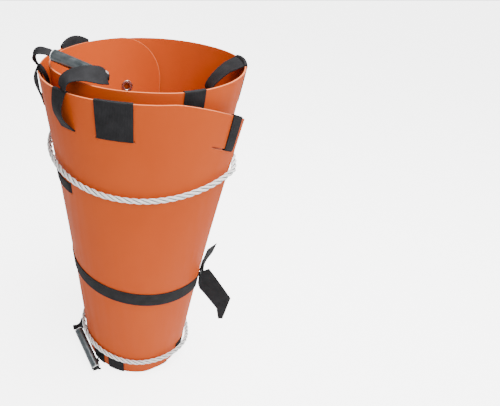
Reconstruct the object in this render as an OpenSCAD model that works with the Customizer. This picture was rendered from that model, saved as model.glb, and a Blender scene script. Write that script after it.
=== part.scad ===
// Roll-up rescue stretcher, rolled and standing on end.
// The sheet is a spiral round Z, counterclockwise from its inner end as seen from above.
// Angles run on past a full turn, so one angle names one place on the sheet.

/* [Sheet] */
// Width of the sheet, which is the height of the roll
sheet_w = 900; // [800:10:1000]
// Thickness of the sheet
sheet_t = 3.5; // [2.5:0.1:4.5]
// Radius of the innermost turn at the foot
roll_r = 149; // [140:1:180]
// Angle of the inner end
inner_end = 71; // [60:1:85]
// Angle of the outer end
outer_end = 690; // [688:1:700]
// How far the outer end is cut back at the top
top_taper = 64; // [40:2:90]
// How far the outer end is cut back at the foot
foot_taper = 36; // [20:2:60]
// How much higher the inner turn stands at the rim
roll_rise = 15; // [0:1:30]
// Corner radius of the inner end
corner_r = 110; // [80:5:120]

/* [Webbing] */
// Width of the common webbing
web_w = 43; // [30:1:50]
// Width of the wide webbing
wide_w = 78; // [60:1:86]
// Width of the webbing of the corner loop
corner_w = 30; // [26:1:34]
// Width of the webbing of the rear loop
rear_w = 84; // [60:1:90]
// Thickness of the webbing
web_t = 2.2; // [1.5:0.1:2.6]
// Distance of the edge slots from the edge
slot_depth = 80; // [60:2:90]
// Distance of the slots at the foot from the lower edge
foot_slot_depth = 46; // [40:2:60]
// Width of the webbing of the front loop at the foot
front_foot_w = 50; // [40:1:60]
// Height of the slots
slot_h = 8; // [7:0.5:12]
// How far the rear loop arches over the rim
rear_arch = 19; // [5:1:40]
// How far the right loop arches over the rim
right_arch = 4; // [1:1:20]
// How far the right loop sags into the roll
right_sag = 60; // [20:2:70]
// How far the rear loop sags into the roll
rear_sag = 6; // [2:1:20]

/* [Handles] */
// Outer diameter of the grip tubes
tube_d = 26; // [22:1:32]
// Wall of the grip tubes
tube_wall = 2; // [1:0.5:3]
// Length of the grip tubes
tube_len = 132; // [110:2:140]
// Length of the end rings in the tubes
ring_len = 8; // [4:1:14]
// Projection of the end rings
ring_lip = 2; // [1:0.5:4]

/* [Straps] */
// Height of the middle of the roll strap at its ring
strap_z = 334; // [250:2:400]
// How much the roll strap rises to each side of its ring
strap_rise = 19; // [0:1:25]
// Angle of the ring on the roll strap
ring_angle = -18; // [-30:1:0]
// Diameter of the bars of the strap's ring
bar_d = 5; // [4:0.5:7]
// How far the tail hangs below the middle of the ring
tail_len = 140; // [120:2:160]
// Length of the standing short end
tab_len = 46; // [25:1:70]
// Height of the middle of the tie strap
tie_z = 656; // [600:2:670]
// Width of the tie strap
tie_w = 28; // [20:1:40]

/* [Ropes] */
// Diameter of the ropes
rope_d = 13; // [9:1:16]
// Radius of the knots at the back
knot_r = 17; // [15:1:22]

/* [Eyelets] */
// Radius of the eyelets' bore
eyelet_r = 9; // [6:0.5:12]
// Wall of the eyelets' barrel
eyelet_wall = 2; // [1:0.5:3]
// Radius of the eyelets' flange and washer
flange_r = 16; // [15:0.5:20]
// Thickness of the eyelets' flange and washer
flange_t = 1.2; // [0.8:0.1:1.6]
// Distance of the eyelets from the long edges
eyelet_depth = 125; // [100:5:140]

/* [Hidden] */
$fn = 48;
// Space between a strap and what it lies on
gap = 0.4;
// Running clearance on radius
run = 0.06;
// Space on both sides of webbing that lies between two turns
turn_room = 0.65;
turn_pitch = sheet_t + web_t + 2 * turn_room;
// The sheet stands on the webbing under its lower edge
foot = web_t + gap;
rim = foot + sheet_w;
eyelet_angle = 97;
tie_from = 470;
tie_to = 577;
tie_slot = 3.2;
top_taper_start = 649;
top_taper_power = 1.48;
foot_taper_start = 640;
foot_taper_power = 1.14;
rise_end = 590;
rise_run = 260;
bridge = 20;
column_step = 5;
// Share of the flare that grows evenly with height
flare_even = 0.72;
// Flare of the rim over the foot, as angle and distance
FLARE = [[71, 62], [180, 40], [225, 21], [270, 34], [300, 61], [330, 79], [360, 84], [405, 69],
         [450, 72], [500, 78], [540, 60], [585, 45], [630, 52], [700, 120]];
// Edge loops as name, angle, width, arch over the rim, sag inside and how far their slot runs on
LOOPS = [["inner_front_loop", 301, web_w, 0, 0, 0], ["right_loop", 361, wide_w, right_arch, right_sag, 0],
         ["rear_loop", 492, rear_w, rear_arch, rear_sag, 0], ["left_anchor", 540, web_w, 0, 0, 0],
         ["right_anchor", 585, web_w, 0, 0, 0], ["front_loop", 618, wide_w, 0, 0, 0],
         ["corner_loop", 683, corner_w, 0, 0, 8]];
// At the foot the front loop is narrower and further left
front_foot_angle = 608;
FOOT_LOOPS = [for (l = LOOPS) l[0] == "front_loop" ? [l[0], front_foot_angle, front_foot_w, 0, 0, 0]
    : [l[0], l[1], l[2], 0, 0, 0]];
// Rope routes as angle, slack off the roll and height
UPPER_ROPE = [[330, 3, 712], [350, 5, 722], [15, 3, 730], [50, 1, 737], [90, 1, 742], [135, 1, 740],
              [180, 1, 723], [215, 1, 700], [245, 1, 685], [270, 1, 681], [290, 1, 686], [310, 2, 698]];
LOWER_ROPE = [[330, 3.5, 62], [350, 5, 41], [15, 4, 31], [50, 2, 34], [90, 1, 42], [135, 3.5, 63],
              [180, 1, 80], [215, 1, 80], [245, 1, 73], [270, 1, 66], [290, 1, 65], [310, 3.5, 66]];

// Small helpers
function unit(v) = v / norm(v);
function mix(a, b, f) = a + (b - a) * f;
function smooth(f) = let (g = min(1, max(0, f))) g * g * (3 - 2 * g);
function sorted(v) = len(v) < 2 ? v : let (p = v[0])
    concat(sorted([for (x = v) if (x < p) x]), [p], sorted([for (x = v) if (x > p) x]));
function bezier(p, f) = let (g = 1 - f)
    g * g * g * p[0] + 3 * g * g * f * p[1] + 3 * g * f * f * p[2] + f * f * f * p[3];

// Cubic through the rows of a list whose first column is the place
function slope(rows, i) = let (a = max(0, i - 1), b = min(len(rows) - 1, i + 1))
    (rows[b] - rows[a]) / (rows[b][0] - rows[a][0]);
function row_at(rows, x) = let (hits = [for (i = [0:len(rows) - 2]) if (rows[i][0] <= x) i])
    len(hits) > 0 ? hits[len(hits) - 1] : 0;
function curve(rows, x) = let (i = row_at(rows, x), d = rows[i + 1][0] - rows[i][0],
                               f = (x - rows[i][0]) / d)
    (2 * f * f * f - 3 * f * f + 1) * rows[i] + (f * f * f - 2 * f * f + f) * d * slope(rows, i)
    + (3 * f * f - 2 * f * f * f) * rows[i + 1] + (f * f * f - f * f) * d * slope(rows, i + 1);

// The sheet's middle surface
function radius(a, z) = let (t = max(0, (z - foot) / sheet_w))
    roll_r + turn_pitch * (a - inner_end) / 360 + curve(FLARE, a)[1] * mix(t * t, t, flare_even);
function place(a, z, n = 0) = let (r = radius(a, z) + n) [r * cos(a), r * sin(a), z];
// Outermost turn at an angle, with a straight bridge just past the outer end
function outer(a) = let (b = a - 360 * floor((a - outer_end) / 360)) b > outer_end ? b - 360 : b;
function wrap_radius(a, z) = let (o = outer(a), past = o - (outer_end - 360))
    past < bridge ? mix(radius(outer_end, z), radius(outer_end - 360 + bridge, z), past / bridge)
                  : radius(o, z);

// How far the long edges are cut back at an angle
function taper(a, start, depth, power) = a <= start ? 0
    : depth * pow((a - start) / (outer_end - start), power);
corner_arc_r = radius(inner_end, rim);
function corner_cut(a) = let (s = (a - inner_end) * PI / 180 * corner_arc_r)
    s >= corner_r ? 0 : corner_r - sqrt(corner_r * corner_r - pow(corner_r - s, 2));
function top_edge(a) = rim + roll_rise * smooth((rise_end - a) / rise_run) - corner_cut(a)
    - taper(a, top_taper_start, top_taper, top_taper_power);
function foot_edge(a) = foot + corner_cut(a) + taper(a, foot_taper_start, foot_taper, foot_taper_power);

// Angles that a width takes up at a radius
function half_angle(a, z, w) = w / 2 / radius(a, z) * 180 / PI;
slot_play = 5;
tie_slot_w = tie_w + slot_play;
function slot_angles(up) = [for (l = up ? LOOPS : FOOT_LOOPS)
    let (z = up ? top_edge(l[1]) - slot_depth : foot_edge(l[1]) + foot_slot_depth,
         h = half_angle(l[1], z, l[2] + slot_play)) [l[1] - h - l[5], l[1] + h]];
TOP_SLOTS = slot_angles(true);
FOOT_SLOTS = slot_angles(false);
TIE_SLOTS = [for (a = [tie_from, tie_to]) [a - tie_slot / 2, a + tie_slot / 2]];
function within(m, spans) = len([for (s = spans) if (m > s[0] && m < s[1]) 1]) > 0;

// Columns of the sheet break at every slot, and its rows at the slots' edges
corner_steps = [0, 20, 40, 60, 78, 90];
corner_angles = [for (f = corner_steps)
    inner_end + corner_r * (1 - cos(f)) / corner_arc_r * 180 / PI];
BREAKS = sorted(concat(corner_angles, [for (s = concat(TOP_SLOTS, FOOT_SLOTS, TIE_SLOTS), e = s) e],
                       [foot_taper_start, top_taper_start, outer_end]));
COLUMNS = concat([for (i = [0:len(BREAKS) - 2])
    let (n = ceil((BREAKS[i + 1] - BREAKS[i]) / column_step)) for (k = [0:n - 1])
    mix(BREAKS[i], BREAKS[i + 1], k / n)], [outer_end]);
function heights(a) = let (lo = foot_edge(a), hi = top_edge(a), first = lo + foot_slot_depth + slot_h / 2,
                           last = tie_z - tie_slot_w / 2)
    [lo, first - slot_h, first, mix(first, last, 1 / 4), mix(first, last, 1 / 2), mix(first, last, 3 / 4),
     last, tie_z + tie_slot_w / 2, hi - slot_depth - slot_h / 2, hi - slot_depth + slot_h / 2, hi];
ROWS = 11;
foot_slot_row = 1;
tie_slot_row = 6;
top_slot_row = 8;

// One skin over a chain of rings of points, each ring right-handed about the way it travels
module skin(rings, closed = false, flip = false) {
    m = len(rings[0]);
    n = len(rings);
    sides = [for (i = [0:n - (closed ? 1 : 2)], k = [0:m - 1])
        let (a = i * m + k, b = i * m + (k + 1) % m, j = (i + 1) % n, c = j * m + (k + 1) % m,
             d = j * m + k) each [[a, d, c], [a, c, b]]];
    caps = closed ? [] : [for (k = [1:m - 2]) each [[0, k, k + 1],
                          [(n - 1) * m, (n - 1) * m + k + 1, (n - 1) * m + k]]];
    faces = concat(sides, caps);
    polyhedron([for (r = rings) each r], flip ? [for (f = faces) [f[0], f[2], f[1]]] : faces);
}

// Flat band through points, with its width direction and its width at each
function band_rings(points, wides, widths, t) = let (n = len(points)) [for (i = [0:n - 1])
    let (way = unit(points[min(n - 1, i + 1)] - points[max(0, i - 1)]),
         across = unit(wides[i] - way * (wides[i] * way)), up = cross(way, across),
         w = across * widths[i] / 2, h = up * t / 2)
    [points[i] + w + h, points[i] - w + h, points[i] - w - h, points[i] + w - h]];

module sheet_wall() {
    nc = len(COLUMNS);
    points = [for (a = COLUMNS, z = heights(a), n = [sheet_t / 2, -sheet_t / 2]) place(a, z, n)];
    solid = [for (i = [0:nc - 2]) let (m = (COLUMNS[i] + COLUMNS[i + 1]) / 2) [for (j = [0:ROWS - 2])
        !(j == top_slot_row && within(m, TOP_SLOTS)) && !(j == foot_slot_row && within(m, FOOT_SLOTS))
        && !(j == tie_slot_row && within(m, TIE_SLOTS))]];
    function there(i, j) = i >= 0 && j >= 0 && i < nc - 1 && j < ROWS - 1 && solid[i][j];
    function id(i, j, k) = (i * ROWS + j) * 2 + k;
    function quad(a, b, c, d) = [[a, b, c], [a, c, d]];
    faces = [for (i = [0:nc - 2], j = [0:ROWS - 2]) if (solid[i][j])
        let (o = [id(i, j, 0), id(i, j + 1, 0), id(i + 1, j + 1, 0), id(i + 1, j, 0)],
             n = [id(i, j, 1), id(i, j + 1, 1), id(i + 1, j + 1, 1), id(i + 1, j, 1)])
        each concat(quad(o[0], o[1], o[2], o[3]), quad(n[0], n[3], n[2], n[1]),
            there(i, j + 1) ? [] : quad(o[1], n[1], n[2], o[2]),
            there(i, j - 1) ? [] : quad(o[0], o[3], n[3], n[0]),
            there(i + 1, j) ? [] : quad(o[3], o[2], n[2], n[3]),
            there(i - 1, j) ? [] : quad(o[0], n[0], n[1], o[1]))];
    polyhedron(points, faces);
}

// The sheet's lean out of upright
function lean(a, z) = atan((radius(a, z + 1) - radius(a, z - 1)) / 2);
module at_eyelet(z) {
    rotate([0, 0, eyelet_angle]) translate([radius(eyelet_angle, z), 0, z])
        rotate([0, 90 + lean(eyelet_angle, z), 0]) children();
}
barrel_r = eyelet_r + eyelet_wall;
// A flat flange on the hollow side of the curved sheet stands off at its middle
hollow_rise = flange_r * flange_r / 2 / roll_r;
flange_z = -sheet_t / 2 - hollow_rise - 2 * gap;
washer_z = sheet_t / 2 + 1.5 * gap;
// Rolled lip that keeps the washer on the barrel
eyelet_lip = 1.5;
eyelet_lip_t = 0.8;
lip_z = washer_z + flange_t + run;
hole_play = 0.3;
hole_past = 4;
top_eyelet_z = top_edge(eyelet_angle) - eyelet_depth;
foot_eyelet_z = foot_edge(eyelet_angle) + eyelet_depth;

module sheet() {
    color("#e8642c") difference() {
        sheet_wall();
        for (z = [top_eyelet_z, foot_eyelet_z]) at_eyelet(z)
            cylinder(r = barrel_r + hole_play, h = sheet_t + hole_past, center = true);
    }
}

module eyelet(z) {
    color("silver") at_eyelet(z) difference() {
        union() {
            translate([0, 0, flange_z - flange_t]) cylinder(r = flange_r, h = flange_t);
            translate([0, 0, flange_z - flange_t]) cylinder(r = barrel_r, h = lip_z - flange_z + flange_t);
            translate([0, 0, lip_z]) cylinder(r = barrel_r + eyelet_lip, h = eyelet_lip_t);
        }
        cylinder(r = eyelet_r, h = 6 * flange_r, center = true);
    }
}

module washer(z) {
    color("silver") at_eyelet(z) translate([0, 0, washer_z]) difference() {
        cylinder(r = flange_r, h = flange_t);
        translate([0, 0, -flange_t]) cylinder(r = barrel_r + run, h = 3 * flange_t);
    }
}

// Webbing loop through an edge slot and over the edge, drawn as distance out and height over the edge
loop_n = sheet_t / 2 + gap + web_t / 2;
// A loop's crown is flatter than a half round, and it draws in where it turns through the slot
crown_flat = 1.22;
slot_draw = 0.7;
loop_facet = 11;
function loop_path(arch, sag, depth) = let (top = gap + web_t / 2 + arch, low = slot_h / 4) concat(
    [[loop_n, -depth + low], [loop_n, 0]],
    [for (a = [30, 55, 90, 125, 150]) [loop_n * cos(a), top * min(1, crown_flat * sin(a))]],
    [for (f = sag > 0 ? [0, 0.25, 0.5, 0.75, 1] : [0, 1])
        [-loop_n - sag * sin(180 * f), mix(0, -depth + low, f)]],
    [[-loop_n * slot_draw, -depth], [0, -depth - low / 2], [loop_n * slot_draw, -depth]]);
function loop_sides(path, d) = let (n = len(path)) [for (i = [0:n - 1])
    let (w = unit(path[(i + 1) % n] - path[(i + n - 1) % n])) path[i] + d * [w[1], -w[0]]];
// An arched loop is lower at its sides
loop_dome = 0.75;
module edge_loop(l, up) {
    half = half_angle(l[1], up ? top_edge(l[1]) : foot_edge(l[1]), l[2]);
    steps = max(2, round(l[2] / loop_facet));
    places = [for (i = [0:steps]) 2 * i / steps - 1];
    angles = [for (v = places) l[1] + half * v];
    depth = up ? slot_depth : foot_slot_depth;
    paths = [for (v = places) loop_path(l[3] * (1 - loop_dome * v * v), l[4], depth)];
    over = [for (p = paths) loop_sides(p, web_t / 2)];
    under = [for (p = paths) loop_sides(p, -web_t / 2)];
    function spot(a, p) = place(a, up ? top_edge(a) + p[1] : foot_edge(a) - p[1], p[0]);
    color("#222222") skin([for (k = [0:len(paths[0]) - 1])
        concat([for (i = [0:steps]) spot(angles[i], over[i][k])],
               [for (i = [0:steps]) spot(angles[steps - i], under[steps - i][k])])],
        closed = true, flip = !up);
}

// A handle is a tube on webbing, hinged where the webbing leaves the two anchor loops
hem_r = web_t;
hem_len = 14;
anchor_left = LOOPS[3][1];
anchor_right = LOOPS[4][1];
// The straight hinge line crosses the round foot at this angle
hinge_skew = (anchor_right - anchor_left) / 2;
function hinge_top(a) = place(a, top_edge(a) + gap + web_t + gap + hem_r);
foot_hinge_n = loop_n + web_t / 2 + gap + hem_r + hem_len / 2 * sin(hinge_skew);
function hinge_foot(a) = place(a, foot + hem_r, foot_hinge_n);
TOP_HINGE = [hinge_top(anchor_left), hinge_top(anchor_right)];
FOOT_HINGE = [hinge_foot(anchor_left), hinge_foot(anchor_right)];
// Points that the grips pass through, as angle, height over the edge and distance out from the sheet
TOP_GRIP_LINE = [[552, 40, -34], [601.6, 16.5, -76]];
FOOT_GRIP_LINE = [[556.8, 57.4, 31], [589.6, 23.4, 38]];
function grip_ends(line, edge) = let (a = place(line[0][0], edge, line[0][2]) + [0, 0, line[0][1]],
                                      b = place(line[1][0], edge, line[1][2]) + [0, 0, line[1][1]],
                                      half = unit(b - a) * tube_len / 2)
    [(a + b) / 2 - half, (a + b) / 2 + half];
TOP_GRIP = grip_ends(TOP_GRIP_LINE, rim);
FOOT_GRIP = grip_ends(FOOT_GRIP_LINE, foot);

// Draws along the line between two points, from z = 0 at the first
module along(a, b) {
    d = b - a;
    translate(a) rotate([0, acos(d[2] / norm(d)), atan2(d[1], d[0])]) children();
}

tube_r = tube_d / 2;
bore_r = tube_r - tube_wall;
module handle_tube(grip) {
    color("#70757a") along(grip[0], grip[1]) difference() {
        cylinder(r = tube_r, h = tube_len);
        translate([0, 0, -1]) cylinder(r = bore_r, h = tube_len + 2);
    }
}

ring_wall = 1.5;
module handle_rings(grip) {
    for (e = [grip, [grip[1], grip[0]]]) color("#d8dadb") along(e[0], e[1]) difference() {
        union() {
            translate([0, 0, -ring_lip]) cylinder(r = tube_r, h = ring_lip);
            cylinder(r = bore_r, h = ring_len);
        }
        translate([0, 0, -ring_lip - 1]) cylinder(r = bore_r - ring_wall, h = ring_len + ring_lip + 2);
    }
}

// Webbing bunched inside the tube, with a flat strap from each end to its hem on the hinge line
core_r = bore_r - ring_wall - run;
core_past = ring_lip + 6;
// The straps start inside the core's ends, as wide as the bunched webbing
core_join = 3;
bunch_w = 1.4 * core_r;
// Handle webbing is pulled a little thinner
band_t = 0.9 * web_t;
// Bends of the straps: way out along the tube, rise there, and the approach to the hem
TOP_LEFT_BEND = [16, 4, [0, 0, 34]];
TOP_RIGHT_BEND = [34, 26, [6, 4, 44]];
FOOT_LEFT_BEND = [20, 0, [-14, 6, 26]];
module strap_end(from, way, to, rise, wide) {
    axis = unit(to[1] - to[0]);
    route = [from, from + way * rise[0] + [0, 0, rise[1]], to[0] + rise[2], to[0]];
    steps = 9;
    points = [for (i = [0:steps]) bezier(route, i / steps)];
    side = unit(cross(way, [0, 0, 1]));
    hand = side * axis < 0 ? -1 : 1;
    wides = [for (i = [0:steps]) mix(side * hand, axis, smooth(i / steps))];
    widths = [for (i = [0:steps]) let (f = i / steps)
        mix(mix(bunch_w, wide, smooth(3 * f)), hem_len - core_join, smooth(3 * f - 2))];
    skin(band_rings(points, wides, widths, band_t));
}
module handle_core(grip, hinge) {
    u = unit(grip[1] - grip[0]);
    h = unit(hinge[1] - hinge[0]);
    along(grip[0] - u * core_past, grip[1]) cylinder(r = core_r, h = tube_len + 2 * core_past);
    for (p = hinge) along(p - h * hem_len / 2, p) cylinder(r = hem_r, h = hem_len);
}
module top_handle_webbing() {
    u = unit(TOP_GRIP[1] - TOP_GRIP[0]);
    back = [TOP_HINGE[1], TOP_HINGE[0]];
    color("#222222") union() {
        handle_core(TOP_GRIP, TOP_HINGE);
        strap_end(TOP_GRIP[0] - u * (core_past - core_join), -u, TOP_HINGE, TOP_LEFT_BEND, web_w);
        strap_end(TOP_GRIP[1] + u * (core_past - core_join), u, back, TOP_RIGHT_BEND, web_w);
    }
}
// At its low end the foot handle's webbing is bunched to a cord that turns back under the tube
bunch_r = 3;
bend_r = bunch_r + 0.4;
CORD_TURN = [6, 2];
module foot_handle_webbing() {
    u = unit(FOOT_GRIP[1] - FOOT_GRIP[0]);
    low_end = FOOT_GRIP[1] + u * (core_past - core_join);
    turn = [low_end[0] + CORD_TURN[0], low_end[1] + CORD_TURN[1], bend_r + foot];
    color("#222222") union() {
        handle_core(FOOT_GRIP, FOOT_HINGE);
        strap_end(FOOT_GRIP[0] - u * (core_past - core_join), -u, FOOT_HINGE, FOOT_LEFT_BEND, web_w / 2);
        for (leg = [[low_end, turn], [turn, FOOT_HINGE[1]]])
            along(leg[0], leg[1]) cylinder(r = bunch_r, h = norm(leg[1] - leg[0]));
        for (p = [turn, FOOT_HINGE[1]]) translate(p) sphere(r = bend_r);
    }
}

// Laid rope as a closed tube round the roll
rope_sides = 10;
rope_rings = 48;
module rope(route) {
    turn = [for (p = route) p[0] < route[0][0] ? p + [360, 0, 0] : p];
    rows = concat(turn, [route[0] + [360, 0, 0]]);
    path = [for (i = [0:rope_rings - 1]) let (a = route[0][0] + 360 * i / rope_rings, p = curve(rows, a),
        r = wrap_radius(a, p[2]) + sheet_t / 2 + rope_d / 2 + gap + p[1]) [r * cos(a), r * sin(a), p[2]]];
    rings = [for (i = [0:rope_rings - 1])
        let (way = unit(path[(i + 1) % rope_rings] - path[(i + rope_rings - 1) % rope_rings]),
             u = unit(cross([0, 0, 1], way)), v = cross(way, u))
        [for (k = [0:rope_sides - 1]) let (f = 360 * k / rope_sides)
            path[i] + rope_d / 2 * (cos(f) * u + sin(f) * v)]];
    color("#f2f2ee") skin(rings, closed = true);
}
knot_angle = 90;
module knot(route) {
    p = curve([for (q = route) if (q[0] < route[0][0]) q], knot_angle);
    r = wrap_radius(knot_angle, p[2]) + sheet_t / 2 + 2 * gap + knot_r;
    color("#f2f2ee") translate([r * cos(knot_angle), r * sin(knot_angle), p[2]]) sphere(r = knot_r);
}

// Strap round the whole roll
strap_rings = 120;
strap_n = sheet_t / 2 + gap + web_t / 2;
module roll_strap() {
    h = [web_t / 2, web_w / 2];
    color("#222222") skin([for (i = [0:strap_rings - 1])
        let (a = 360 * i / strap_rings, w = [cos(a), sin(a), 0],
             middle = strap_z + strap_rise * (1 - cos(a - ring_angle)))
        [for (c = [[1, -1], [1, 1], [-1, 1], [-1, -1]]) let (z = middle + c[1] * h[1])
            (wrap_radius(a, z) + strap_n + c[0] * h[0]) * w + [0, 0, z]]], closed = true);
}

// Frame at the ring: X out of the roll, Y along the strap, Z up
eye_r = bar_d / 2 + run + web_t;
post_r = 0.6 * bar_d;
// The front post is thinner where the tail's eye turns on it
neck_r = 0.3 * bar_d;
neck_len = 42;
tail_eye_len = 40;
ring_side = 6;
post_y = web_w / 2 + ring_side;
// The strap leans out at the front of the ring, whose front post rides on it
ring_span = 14;
ring_seat = max([for (a = [ring_angle - ring_span:0.5:ring_angle], side = [-1, 1])
    let (r = wrap_radius(a, strap_z + side * web_w / 2) + strap_n + web_t / 2, y = r * sin(a - ring_angle))
    if (abs(y + post_y) < post_r / 2) r * cos(a - ring_angle)]);
ring_out = ring_seat + gap + post_r;
bar_z = web_w / 2 + eye_r + gap;
module at_ring() {
    rotate([0, 0, ring_angle]) translate([ring_out, 0, strap_z]) children();
}
module strap_ring() {
    color("#3a3d40") at_ring() {
        for (z = [-bar_z, bar_z]) translate([0, 0, z]) rotate([90, 0, 0])
            cylinder(d = bar_d, h = 2 * post_y, center = true);
        difference() {
            for (y = [-post_y, post_y]) translate([0, y, -bar_z - post_r])
                cylinder(r = post_r, h = 2 * (bar_z + post_r));
            translate([0, -post_y, 0]) cylinder(r = 2 * post_r, h = neck_len, center = true);
        }
        translate([0, -post_y, -bar_z]) cylinder(r = neck_r, h = 2 * bar_z);
    }
}
// The tail's flat outline as distance out from the front post and height over the ring's middle
TAIL = [[5, 19], [24, 43], [93, -48], [80, -tail_len], [67, -tail_len - 4], [58, -101], [5, -40], [5, -19]];
module strap_tail() {
    half_eye = tail_eye_len / 2 - 1;
    color("#222222") at_ring() translate([0, -post_y, 0]) difference() {
        union() {
            cylinder(r = post_r, h = tail_eye_len, center = true);
            rotate([90, 0, 0]) linear_extrude(web_t, center = true)
                polygon(concat([[0, -half_eye], [0, half_eye]], TAIL));
        }
        cylinder(r = neck_r + run, h = neck_len, center = true);
    }
}
// The tab is a strip of webbing with an eye on the ring's upper bar
eye_mid = bar_d / 2 + run + web_t / 2;
tab_lean = 16;
tab_bow = [2, 0];
module strap_tab() {
    d = [sin(tab_lean), cos(tab_lean)];
    start = eye_mid * [d[1], -d[0]];
    points = [start, start + tab_len / 2 * d, start + tab_len * d + tab_bow];
    side = [for (i = [0:2]) let (w = unit(points[min(2, i + 1)] - points[max(0, i - 1)]))
        web_t / 2 * [w[1], -w[0]]];
    outline = concat(points + side, [for (i = [2:-1:0]) points[i] - side[i]]);
    color("#222222") at_ring() translate([0, 0, bar_z]) rotate([90, 0, 0]) difference() {
        union() {
            cylinder(r = eye_r, h = web_w, center = true);
            linear_extrude(web_w, center = true) polygon(outline);
        }
        cylinder(r = bar_d / 2 + run, h = web_w + 2, center = true);
    }
}

// Angles at which the tie strap's ends pass through their slots and lie behind them
tie_lead = 1.26;
tie_tuck = 3.64;
tie_draw = 0.9;
tie_step = 4;
// Tie strap on the outside between two upright slots, with its ends turned in through them
module tie_strap() {
    dip = loop_n;
    ends = [[-tie_tuck, -dip - gap], [-tie_lead, -dip * tie_draw], [tie_lead, dip * tie_draw]];
    path = concat([for (e = ends) [tie_from + e[0], e[1]]],
                  [for (a = [tie_from + tie_step:tie_step:tie_to - tie_step]) [a, dip]],
                  [for (i = [2:-1:0]) [tie_to - ends[i][0], ends[i][1]]]);
    points = [for (p = path) place(p[0], tie_z, p[1])];
    wides = [for (p = path) place(p[0], tie_z + tie_w / 2) - place(p[0], tie_z - tie_w / 2)];
    color("#222222") skin(band_rings(points, wides, [for (p = points) tie_w], web_t));
}

sheet();
for (l = LOOPS) edge_loop(l, true);
for (l = FOOT_LOOPS) edge_loop(l, false);
handle_tube(TOP_GRIP);  // top_handle_tube
handle_rings(TOP_GRIP);  // top_handle_rings
top_handle_webbing();
handle_tube(FOOT_GRIP);  // foot_handle_tube
handle_rings(FOOT_GRIP);  // foot_handle_rings
foot_handle_webbing();
rope(UPPER_ROPE);  // upper_rope
knot(UPPER_ROPE);  // upper_knot
rope(LOWER_ROPE);  // lower_rope
knot(LOWER_ROPE);  // lower_knot
roll_strap();
strap_ring();
strap_tail();
strap_tab();
tie_strap();
eyelet(top_eyelet_z);  // top_eyelet
washer(top_eyelet_z);  // top_washer
eyelet(foot_eyelet_z);  // foot_eyelet
washer(foot_eyelet_z);  // foot_washer
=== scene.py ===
"""Looks of a roll-up rescue stretcher, rolled and standing on end. Sizes are in millimetres until placed."""

from math import ceil, cos, degrees, floor, pi, radians, sin, sqrt

import bmesh
import bpy
from mathutils import Matrix, Vector


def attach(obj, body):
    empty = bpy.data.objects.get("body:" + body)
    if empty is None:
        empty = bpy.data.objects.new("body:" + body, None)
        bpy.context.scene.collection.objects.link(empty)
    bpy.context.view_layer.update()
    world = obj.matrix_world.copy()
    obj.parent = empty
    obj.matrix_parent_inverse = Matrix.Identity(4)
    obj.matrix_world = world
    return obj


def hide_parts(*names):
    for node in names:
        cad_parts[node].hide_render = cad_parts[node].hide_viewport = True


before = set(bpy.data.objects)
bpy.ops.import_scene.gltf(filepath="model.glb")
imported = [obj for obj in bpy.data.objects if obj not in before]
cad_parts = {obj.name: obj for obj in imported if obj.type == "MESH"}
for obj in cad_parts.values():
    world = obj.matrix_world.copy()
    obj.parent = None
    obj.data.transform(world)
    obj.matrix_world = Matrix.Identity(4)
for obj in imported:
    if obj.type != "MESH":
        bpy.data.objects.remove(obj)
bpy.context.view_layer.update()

MM = 0.001
# Pieces that lie together are GAP apart, and pieces that turn on each other RUN
GAP = 0.4
RUN = 0.06
# Points closer than this are one point, and edges with a sharper turn in degrees are softened
TOUCHING = 0.001
SHARP = 40.0

# Webbing
WEB_W = 43.0
WIDE_W = 78.0
CORNER_W = 30.0
REAR_W = 84.0
FRONT_FOOT_W = 50.0
WEB_T = 2.2
WEB_SOFT = 0.6
WEB_CELLS = 6

# Sheet, and its roll by angle in degrees from the inner end to the outer one
SHEET_W = 900.0
SHEET_T = 3.5
SHEET_SOFT = 0.45
FOOT = WEB_T + GAP
RIM = FOOT + SHEET_W
ROLL_R = 149.0
TURN_GAP = 1.3
TURN_PITCH = SHEET_T + WEB_T + TURN_GAP
INNER_END = 71.0
OUTER_END = 690.0
CORNER_R = 110.0
# Cut of the outer end's corners: angle where it starts, depth at the end and power
TOP_TAPER = (649.0, 64.0, 1.48)
FOOT_TAPER = (640.0, 36.0, 1.14)
# The inner turns stand higher at the rim, and ease off over a run of angle
ROLL_RISE = 15.0
RISE_RUN = 260.0
RISE_END = 590.0
# Flare of the rim over the foot, as angle and distance, and the share of it that grows evenly with height
FLARE = [(71, 62), (180, 40), (225, 21), (270, 34), (300, 61), (330, 79), (360, 84), (405, 69),
         (450, 72), (500, 78), (540, 60), (585, 45), (630, 52), (700, 120)]
FLARE_EVEN = 0.72
# Angle over which what is wrapped round the roll bridges the step at the outer end
BRIDGE = 20.0

# Slots, which are drawn closed on their webbing
SLOT_DEPTH = 80.0
FOOT_SLOT_DEPTH = 46.0
SLOT_H = 8.0
SLOT_PLAY = 5.0
SLIT = 5.0
LOOP_N = SHEET_T / 2 + GAP + WEB_T / 2

# Edge loops: angle, width, arch over the rim, sag inside and how many degrees their slot runs on
LOOPS = {"inner_front_loop": (301, WEB_W, 0, 0, 0), "right_loop": (361, WIDE_W, 4, 60, 0),
         "rear_loop": (492, REAR_W, 19, 6, 0), "left_anchor": (540, WEB_W, 0, 12, 0),
         "right_anchor": (585, WEB_W, 0, 12, 0), "front_loop": (618, WIDE_W, 0, 0, 0),
         "corner_loop": (683, CORNER_W, 0, 0, 8)}
FOOT_LOOPS = {k: (v[0], v[1], 0, 0, 0) for k, v in LOOPS.items()}
FOOT_LOOPS["front_loop"] = (608, FRONT_FOOT_W, 0, 0, 0)
# Slack webbing: how far it stands off outside, hangs down inside, runs to one side of its slot in degrees,
# and how much more its one edge stands off than its middle
DRAPE = {"right_loop_top": (0.5, 24, 0, 0), "left_anchor_top": (10, 0, 0, -0.8),
         "right_anchor_top": (13, 0, -2.6, 0.45)}
SNUG = (0.5, 0, 0, 0)

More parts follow.
